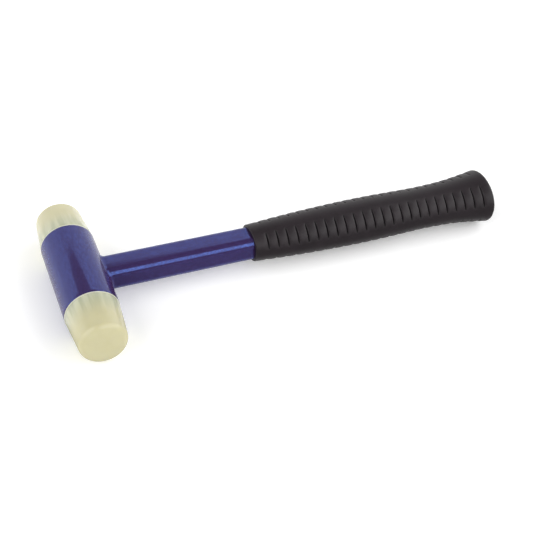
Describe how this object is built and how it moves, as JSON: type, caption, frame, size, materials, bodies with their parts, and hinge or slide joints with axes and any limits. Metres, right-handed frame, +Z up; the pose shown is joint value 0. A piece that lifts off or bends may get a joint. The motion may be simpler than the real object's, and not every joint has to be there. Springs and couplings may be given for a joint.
{
  "type": "soft-face nylon hammer",
  "caption": "Double-ended hammer with screw-in nylon faces, a painted steel barrel head, a tubular steel shaft and a slotted rubber grip.",
  "frame": {"origin": "under the middle of the hammer as it lies on its side, on the plane the head rests on", "axes": "+X from the head along the shaft to the butt, +Y along the head to the far face, +Z up from the side it lies on"},
  "size_m": [0.308, 0.1276, 0.035],
  "materials": {
    "head_paint": "gloss metallic",
    "shaft_paint": "gloss metallic",
    "plug_plastic": "matte",
    "grip_rubber": "matte moulded",
    "ring_nylon": "translucent gloss",
    "face_nylon": "translucent gloss"
  },
  "bodies": {
    "hammer": {"head_barrel": "head_paint", "neck_weld": "head_paint", "shaft_tube": "shaft_paint", "shaft_plug": "plug_plastic", "grip_sleeve": "grip_rubber"},
    "near_ring_body": {"near_ring": "ring_nylon"},
    "near_face_body": {"near_face": "face_nylon"},
    "far_ring_body": {"far_ring": "ring_nylon"},
    "far_face_body": {"far_face": "face_nylon"}
  },
  "joints": [
    {"name": "near_travel", "type": "slide", "parent": "hammer", "child": "near_ring_body", "axis": [0, -1, 0], "range_m": [0, 0.015]},
    {"name": "near_unscrew", "type": "hinge", "parent": "near_ring_body", "child": "near_face_body", "pos_m": [-0.13655, -0.0638, 0.0175], "axis": [0, -1, 0], "range_deg": [0, 1800]},
    {"name": "far_travel", "type": "slide", "parent": "hammer", "child": "far_ring_body", "axis": [0, 1, 0], "range_m": [0, 0.015]},
    {"name": "far_unscrew", "type": "hinge", "parent": "far_ring_body", "child": "far_face_body", "pos_m": [-0.13655, 0.0638, 0.0175], "axis": [0, 1, 0], "range_deg": [0, 1800]}
  ],
  "couplings": [
    {"joint": "near_unscrew", "follows": "near_travel", "rad_per_m": 2094.4},
    {"joint": "far_unscrew", "follows": "far_travel", "rad_per_m": 2094.4}
  ]
}
